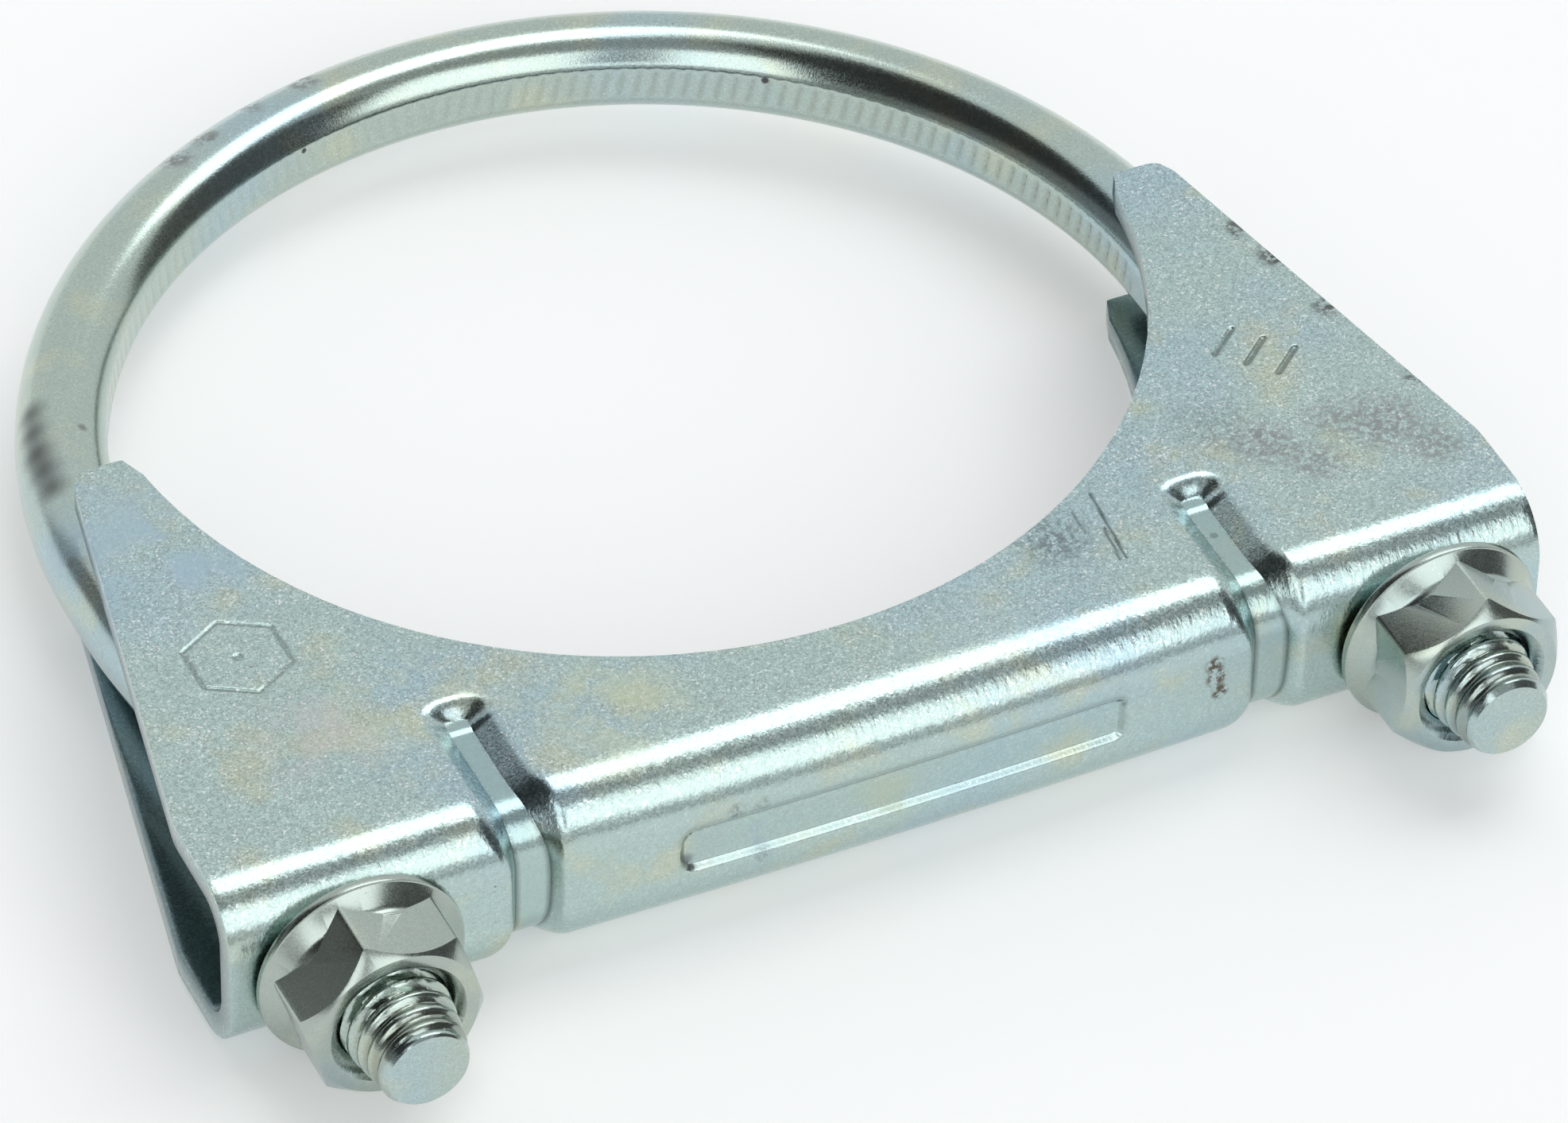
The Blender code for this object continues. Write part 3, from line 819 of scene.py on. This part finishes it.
def recessHeight(row, along):
    # height on the web, carried on round the bends; None on the flanges
    kind, side, value = row
    return {"web": value, "bend": side * along, "flange": None}[kind]


def sheetPoint(x, row, outside):
    x, along, point, normal = onSheet(x, row)
    depth = beadDepth(x, along, outside) + (0 if outside else saddle["sheet"])
    z = recessHeight(row, along)
    if z is not None:
        depth += recessDepth(x, z)
    return point - normal * depth


def paintSheet(v, layers, x, row, outside):
    # marks the floors struck by the die, painted darker as shade; the smooth parts, without flecks; painted shade
    # along crisp inner edges and over the recess's shoulder; and painted shade over the channel's inner face
    if not outside:
        # the channel's inner face is painted dark, as shade
        v[layers["inside"]] = 1.0
        return
    x, along, point, normal = onSheet(x, row)
    gap, endward = beadGap(x, along)
    onTheWeb = 1 - step(along, 3 * mm, 8 * mm)
    pressedShade, smooth, creviceShade = [flange + (web - flange) * onTheWeb for flange, web in
                                (saddlePaint[name] for name in ("pressedShade", "smooth", "creviceShade"))]
    width = saddlePaint["creviceWidth"]
    floor = 1 - step(gap, -0.15 * mm, 0.05 * mm)
    # the floors the die struck are painted darker, as shade, besides being burnished
    pressedShade *= floor
    smooth = max(floor, smooth)
    # painted shade along the crisp edges of the bead's floor
    creviceShade *= math.exp(-(gap / width) ** 2)
    z = recessHeight(row, along)
    if z is not None and overRecess(x):
        gap, facing = recessGap(x, z)
        # the recess's floor gets the same painted shade
        pressedShade = max(pressedShade, saddlePaint["recessPressedShade"] * (1 - step(gap, -0.8 * mm, -0.3 * mm)))
        # painted shade along the recess's upper and end edges and over its sunk shoulder
        edge = math.exp(-((gap + 0.08 * mm) / width) ** 2) * step(facing, -0.6, 0.5)
        shoulder = step(facing, 0, 0.6) * (1 - step(gap, 0, 0.7 * mm)) * step(gap, -0.1 * mm, 0)
        creviceShade = max(creviceShade, saddlePaint["recessEdgeShade"] * edge, saddlePaint["shoulderShade"] * shoulder)
    for name, value in (("pressedShade", pressedShade), ("smooth", smooth), ("creviceShade", creviceShade)):
        v[layers[name]] = value


def placeSaddle():
    turn = Matrix.Rotation(-saddle["skew"], 4, "Z")
    middle = Vector((saddle["shift"], saddle["webY"], (saddleLow.z + saddleHigh.z) / 2 - ringCentre.z))
    return Matrix.Translation(ringCentre + middle) @ turn


def strokeDepth(x, y):
    deepest = 0.0
    for centreX, centreY, turn, length, width, depth in strokes:
        dx, dy = x - centreX * mm, y - centreY * mm
        along = dx * math.cos(math.radians(turn)) + dy * math.sin(math.radians(turn))
        across = dy * math.cos(math.radians(turn)) - dx * math.sin(math.radians(turn))
        gap = math.hypot(max(abs(along) - length / 2 * mm, 0), across) / (width * mm)
        deepest = max(deepest, depth * mm * (1 - step(gap, 0.1, 1.0)))
    return deepest


def hexDepth(x, y):
    dx, dy = x - hexMark["x"], y - hexMark["y"]
    radius = math.hypot(dx, dy)
    turn = (math.atan2(dy, dx) + math.pi / 6) % (math.pi / 3) - math.pi / 6
    line = abs(radius * math.cos(turn) - hexMark["radius"]) / hexMark["width"]
    depth = hexMark["depth"] * (1 - step(line, 0.1, 1.0))
    return max(depth, hexMark["depth"] * (1 - step(radius / hexMark["dot"], 0.5, 1.2)))


def struck(face, depthAt, cuts):
    # whether a mark touches any of the points that the finer faces would have
    shares = [i / (cuts + 1) for i in range(cuts + 2)]
    a, b, c, d = [v.co for v in face.verts]
    points = [a.lerp(b, s).lerp(d.lerp(c, s), t) for s in shares for t in shares]
    return any(depthAt(point.x, point.y) > 0 for point in points)


def strikeMarks(bm, layers, cuts=5):
    # finer faces under and next to each mark, then the points pushed down into the sheet, with painted shade in the
    # grooves, darker where they are deeper
    top = saddle["height"] / 2
    # the last column is how dark the painted shade in the marks' grooves gets
    places = (
        (38.9 * mm, 23.6 * mm, 4.4 * mm, strokeDepth, 0.75),
        (20.6 * mm, 11.2 * mm, 4.2 * mm, strokeDepth, 1.0),
        (hexMark["x"], hexMark["y"], 4.6 * mm, hexDepth, 0.5),
    )
    for x, y, reach, depthAt, grooveShade in places:
        def isClose(point):
            return abs(point.z - top) < flatTolerance and math.hypot(point.x - x, point.y - y) < reach

        close = {f for f in bm.faces if isClose(f.calc_center_median())}
        hit = [f for f in close if struck(f, depthAt, cuts)]
        finer = {f for face in hit for v in face.verts for f in v.link_faces} & close
        edges = [e for e in bm.edges if finer.intersection(e.link_faces)]
        bmesh.ops.subdivide_edges(bm, edges=edges, cuts=cuts, use_grid_fill=True)
        for v in bm.verts:
            if isClose(v.co):
                depth = depthAt(v.co.x, v.co.y)
                v.co.z -= depth
                v[layers["creviceShade"]] = max(v[layers["creviceShade"]], grooveShade * min(depth / (0.03 * mm), 1))


def makeSaddle():
    columns, rows = sheetColumns(), sheetRows()
    bm = bmesh.new()
    layers = {name: bm.verts.layers.float.new(name) for name in ("pressedShade", "smooth", "creviceShade", "inside")}
    for outside in (True, False):
        shapedGrid(bm, len(columns) - 1, len(rows) - 1, lambda i, j: sheetPoint(columns[i], rows[j], outside),
                   lambda v, i, j: paintSheet(v, layers, columns[i], rows[j], outside))
        if outside:
            strikeMarks(bm, layers)
    rim = [e for e in bm.edges if e.is_boundary]
    bmesh.ops.bridge_loops(bm, edges=rim)
    bmesh.ops.recalc_face_normals(bm, faces=bm.faces)
    rim = [e for e in rim if e.is_valid]
    bmesh.ops.bevel(bm, geom=rim, offset=saddle["edgeRound"], segments=2, profile=0.5, affect="EDGES",
                    material=-1, clamp_overlap=True)
    piece = newObject("saddlePressing", bm)
    radius, front, back = saddle["holeRadius"], -3 * mm, 4 * mm
    for side in (-1, 1):
        bore = turned([(0, front), (radius, front), (radius, back), (0, back)], 64)
        bore.transform(Matrix.Translation((side * uBolt["legSpacing"], 0, 0)))
        cutWith(piece, newObject("holeCutter", bore), "DIFFERENCE")
    piece.data.transform(placeSaddle())
    return piece


def onFlange(x, y):
    # a place on the saddle's upper face, from its own millimetres
    return placeSaddle() @ Vector((x * mm, y * mm, saddle["height"] / 2))


def onWeb(x, z):
    return placeSaddle() @ Vector((x * mm, 0, z * mm))


floorDrop = Vector((0, 0, bead["depthFlange"]))
saddleStains = [
    colourPatch(onFlange(-40.5, 35), 12, "blue", 0.8, 160.0, 0.9),
    colourPatch(onFlange(-31, 15), 8, "straw", 0.45, 240.0, 0.9),
    colourPatch(onFlange(-18, 8), 9, "straw", 0.6, 200.0, 0.9),
    colourPatch(onFlange(-37, 14), 7, "rose", 0.5, 260.0, 0.9),
    colourPatch(onFlange(8, 7), 9, "blue", 0.35, 200.0, 0.9),
    colourPatch(onWeb(-1, 0), 4, "straw", 0.5, 300.0, 0.9),
    colourPatch(onWeb(-12, 0), 6, "blue", 0.5, 250.0, 0.9),
    colourPatch(onFlange(35.0, 14.4), 3.3, "dark", 0.85, 1700.0),
    colourPatch(onFlange(37.4, 11.4), 2.9, "dark", 0.75, 1700.0),
    colourPatch(onFlange(40.4, 15.0), 2.6, "dark", 0.7, 1700.0),
    colourPatch(onFlange(43.6, 13.2), 4.2, "dark", 0.85, 1700.0),
    colourPatch(onFlange(46.0, 9.6), 3.0, "dark", 0.8, 1900.0),
    colourPatch(onFlange(44.0, 36.0), 1.6, "nearBlack", 0.9),
    colourPatch(onFlange(44.9, 32.3), 1.8, "nearBlack", 0.95),
    colourPatch(onFlange(45.8, 25.8), 1.5, "nearBlack", 0.9),
    colourPatch(onFlange(48.0, 16.6), 1.3, "nearBlack", 0.8),
    colourPatch(onFlange(17.0, 11.2), 4.2, "nearBlack", 0.6, 2600.0, 0.9),
    colourPatch(onFlange(32.5, 17.5), 4.5, "nearBlack", 0.35, 2600.0, 0.9),
    colourPatch(onWeb(23.9, 2.2), 1.0, "brown", 1.0, 1700.0, 0.6),
    colourPatch(onWeb(24.1, 1.0), 1.1, "brown", 1.0, 1700.0, 0.6),
    colourPatch(onWeb(24.4, -0.4), 0.9, "brown", 1.0, 1700.0, 0.6),
    colourPatch(onWeb(-12.5, 2.6), 1.0, "brown", 0.6, 2200.0),
    colourPatch(onWeb(-10.6, 2.6), 0.9, "brown", 0.5, 2200.0),
    colourPatch(onWeb(-10.5, -2.2), 0.9, "brown", 0.5, 2200.0),
    colourPatch(onFlange(27.95, 8.4) - floorDrop, 0.38, "nearBlack", 0.95, 0, 0.4),
    colourPatch(onWeb(-16.0, -0.9), 0.8, "nearBlack", 0.7, 0, 0.8),
]
saddlePiece = makeSaddle()
saddleZinc = zincMaterial("saddleZinc", saddleLook, saddleStains)
finishPiece(saddlePiece, "saddle", "saddle", saddleZinc, saddle["sharpAngle"])
print("saddle:", len(saddlePiece.data.polygons), "faces")


# Flange nuts
nutSizes = {
    "flats": 12.0 * mm,
    "height": 6.7 * mm,
    "flangeMargin": 0.57 * mm,
    "rim": 0.8 * mm,
    "rise": 1.0 * mm,
    "fillet": 1.0 * mm,
    "topRadius": 5.85 * mm,  # where the chamfer starts on the top face
    "chamferAngle": math.radians(50),
    "bore": 4.02 * mm,
    "sink": 0.9 * mm,
    "rimRound": (0.16 * mm, 0.3 * mm),  # reach of the rim's upper and lower round
    "cornerRound": 0.22 * mm,
    "edgeRound": 0.09 * mm,
    "sides": 144,
    "turn": {"left": 16.0, "right": -5.0},
    "sharpAngle": 30,
}
nutLook = {
    "base": (0.43, 0.49, 0.45), "tint": 0.55, "roughness": 0.23,
    "fleckSize": 6200.0, "flecks": 0.1, "fleckGlint": 0.4, "grain": 0.09, "bump": 0.000004,
    "grimeSize": 2200.0, "grime": 0.10, "grimeColour": (0.22, 0.18, 0.15),
}


def makeNut(name, turn):
    low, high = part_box(f"nut_{name}")
    centre = Vector(((low.x + high.x) / 2, high.y, (low.z + high.z) / 2))
    s = nutSizes
    corner = s["flats"] / math.sqrt(3)
    bm = bmesh.new()
    bmesh.ops.create_circle(bm, cap_ends=True, radius=corner, segments=6)
    bmesh.ops.rotate(bm, verts=bm.verts, matrix=Matrix.Rotation(math.radians(turn), 3, "Z"))
    grown = bmesh.ops.extrude_face_region(bm, geom=bm.faces[:])
    top = [item for item in grown["geom"] if isinstance(item, bmesh.types.BMVert)]
    bmesh.ops.translate(bm, verts=top, vec=(0, 0, s["height"] - s["rim"] / 2))
    bmesh.ops.translate(bm, verts=bm.verts, vec=(0, 0, s["rim"] / 2))
    upright = [e for e in bm.edges if abs(e.verts[0].co.z - e.verts[1].co.z) > mm]
    bmesh.ops.bevel(bm, geom=upright, offset=s["cornerRound"], segments=4, profile=0.5, affect="EDGES",
                    material=-1)
    bmesh.ops.rotate(bm, verts=bm.verts, matrix=Matrix.Rotation(math.radians(90), 3, "X"))
    bmesh.ops.recalc_face_normals(bm, faces=bm.faces)
    piece = newObject(f"flangeNut_{name}", bm)

    outer = corner + s["flangeMargin"]
    drop = (outer - s["topRadius"]) * math.tan(s["chamferAngle"])
    chamfer = [(0, 0.2 * mm), (outer, 0.2 * mm), (outer, s["height"] - drop),
               (s["topRadius"], s["height"]), (0, s["height"])]
    cutWith(piece, newObject("chamferCutter", turned([(r, -h) for r, h in chamfer], s["sides"])), "INTERSECT")
    slope, slopeTop = s["flats"] / 2 + s["fillet"] / 3, s["rim"] + s["rise"]
    above, below = s["rimRound"]
    flange = [(0, 0), (outer - below, 0), (outer - 0.12 * mm, 0.05 * mm), (outer, 0.22 * mm),
              (outer, s["rim"] - 0.15 * mm), (outer - 0.05 * mm, s["rim"] - 0.03 * mm), (outer - above, s["rim"])]
    for angle in np.linspace(math.pi / 4, math.pi / 2, 7):
        flange.append((slope - s["fillet"] * (math.sin(angle) - math.sqrt(0.5)),
                       slopeTop + s["fillet"] * (math.sqrt(0.5) - math.cos(angle))))
    flange.append((0, flange[-1][1]))
    cutWith(piece, newObject("flangeCutter", turned([(r, -h) for r, h in flange], s["sides"])), "UNION")
    mouth = s["bore"] + s["sink"]
    bore = [(0, -mm), (s["bore"], -mm), (s["bore"], s["height"] - s["sink"]),
            (mouth + 0.5 * mm, s["height"] + 0.5 * mm), (0, s["height"] + 0.5 * mm)]
    cutWith(piece, newObject("boreCutter", turned([(r, -h) for r, h in bore], 96)), "DIFFERENCE")
    soften = piece.modifiers.new("soften", "BEVEL")
    soften.width = s["edgeRound"]
    soften.segments = 2
    soften.limit_method = "ANGLE"
    soften.angle_limit = math.radians(28)
    applyModifiers(piece)
    piece.data.transform(Matrix.Translation(centre))
    return piece


nutZinc = zincMaterial("nutZinc", nutLook)
for name, turn in nutSizes["turn"].items():
    piece = makeNut(name, turn)
    finishPiece(piece, f"nut_{name}", f"nut_{name}", nutZinc, nutSizes["sharpAngle"])
    print(f"{name} nut:", len(piece.data.polygons), "faces")


# Stage: the clamp leans on its nuts and on the saddle's lower horns, so the floor follows that lean
stage = {
    "halfSize": 0.9,
    "floorColour": (0.90, 0.90, 0.90),
    "floorGlow": 0.27,
    "skyColour": (0.97, 1.0, 1.0),
    "walls": 0.80,
}
view = {
    "place": (-219.55 * mm, -458.93 * mm, 443.63 * mm),  # from the ring's centre
    "turn": (0.83949, -0.01823, -0.44905),
    "sensor": 36.0,
    "lens": 218.18,
}
# Windows of the studio round the clamp, each laid over the ones before it, in degrees. Azimuth runs from the
# front to the right and elevation up from the floor; right and back are measured from straight overhead.
skyWindows = [
    {"elevation": (-3, 24), "azimuth": (-55, 75), "soft": (15, 5), "value": 0.60},
    {"elevation": (-1, 2), "azimuth": (-70, 70), "soft": (15, 3), "value": 0.42},
    {"elevation": (58, 88), "azimuth": (-95, 75), "soft": (25, 8), "value": 0.40},
    {"elevation": (-2, 50), "azimuth": (40, 90), "soft": (6, 6), "value": 0.10},
    {"elevation": (8, 74), "azimuth": (-141, -58), "soft": (6, 6), "value": 0.20},
    {"elevation": (30, 74), "azimuth": (-141, -58), "soft": (6, 8), "value": 0.04},
    {"elevation": (20, 50), "azimuth": (-50, 30), "soft": (8, 6), "value": 1.9},
    {"elevation": (26, 62), "azimuth": (-25, -14), "soft": (6, 6), "value": 0.40},
    {"right": (4, 42), "back": (-2, 22), "soft": (6, 5), "value": 2.5},
]


def makeFloor():
    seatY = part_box("nut_left")[1].y
    lean = math.atan2(saddleLow.z, saddleHigh.y - seatY)
    bm = bmesh.new()
    bmesh.ops.create_grid(bm, x_segments=1, y_segments=1, size=stage["halfSize"])
    bm.transform(Matrix.Translation((0, seatY, -0.02 * mm)) @ Matrix.Rotation(lean, 4, "X"))
    floor = newObject("floor", bm)
    material = bpy.data.materials.new("paleFloor")
    material.use_nodes = True
    shader = material.node_tree.nodes["Principled BSDF"]
    shader.inputs["Base Color"].default_value = (*stage["floorColour"], 1.0)
    shader.inputs["Roughness"].default_value = 0.8
    shader.inputs["Emission Color"].default_value = (1.0, 1.0, 1.0, 1.0)
    shader.inputs["Emission Strength"].default_value = stage["floorGlow"]
    floor.data.materials.append(material)


def windowMask(tree, angle, low, high, soft):
    rise = remap(tree, angle, math.radians(low - soft), math.radians(low))
    fall = remap(tree, angle, math.radians(high), math.radians(high + soft), 1.0, 0.0)
    return times(tree, rise, fall)


def makeSky():
    world = bpy.data.worlds.new("studio")
    bpy.context.scene.world = world
    world.use_nodes = True
    tree = world.node_tree
    background = tree.nodes["Background"]
    direction = addNode(tree, "ShaderNodeTexCoord").outputs["Generated"]
    parts = addNode(tree, "ShaderNodeSeparateXYZ")
    tree.links.new(direction, parts.inputs[0])
    front = times(tree, parts.outputs["Y"], -1.0)
    angles = {
        "azimuth": mathNode(tree, "ARCTAN2", parts.outputs["X"], front),
        "elevation": mathNode(tree, "ARCSINE", parts.outputs["Z"]),
        "right": mathNode(tree, "ARCTAN2", parts.outputs["X"], parts.outputs["Z"]),
        "back": mathNode(tree, "ARCTAN2", parts.outputs["Y"], parts.outputs["Z"]),
    }
    value = stage["walls"]
    for window in skyWindows:
        across, upward = ("azimuth", "elevation") if "azimuth" in window else ("right", "back")
        mask = times(tree, windowMask(tree, angles[across], *window[across], window["soft"][0]),
                     windowMask(tree, angles[upward], *window[upward], window["soft"][1]))
        value = remap(tree, mask, 0.0, 1.0, value, window["value"], smooth=False)
    tint = addNode(tree, "ShaderNodeVectorMath", operation="SCALE")
    tint.inputs[0].default_value = stage["skyColour"]
    tree.links.new(value, tint.inputs["Scale"])
    tree.links.new(tint.outputs[0], background.inputs["Color"])


def makeCamera():
    camera = bpy.data.objects.new("camera", bpy.data.cameras.new("camera"))
    bpy.context.scene.collection.objects.link(camera)
    camera.data.sensor_width = view["sensor"]
    camera.data.lens = view["lens"]
    camera.data.clip_start = 10 * mm
    camera.location = toRow(*view["place"])
    camera.rotation_euler = view["turn"]
    bpy.context.scene.camera = camera


makeFloor()
makeSky()
makeCamera()
bpy.context.scene.view_settings.view_transform = "Standard"
print("stage ready")
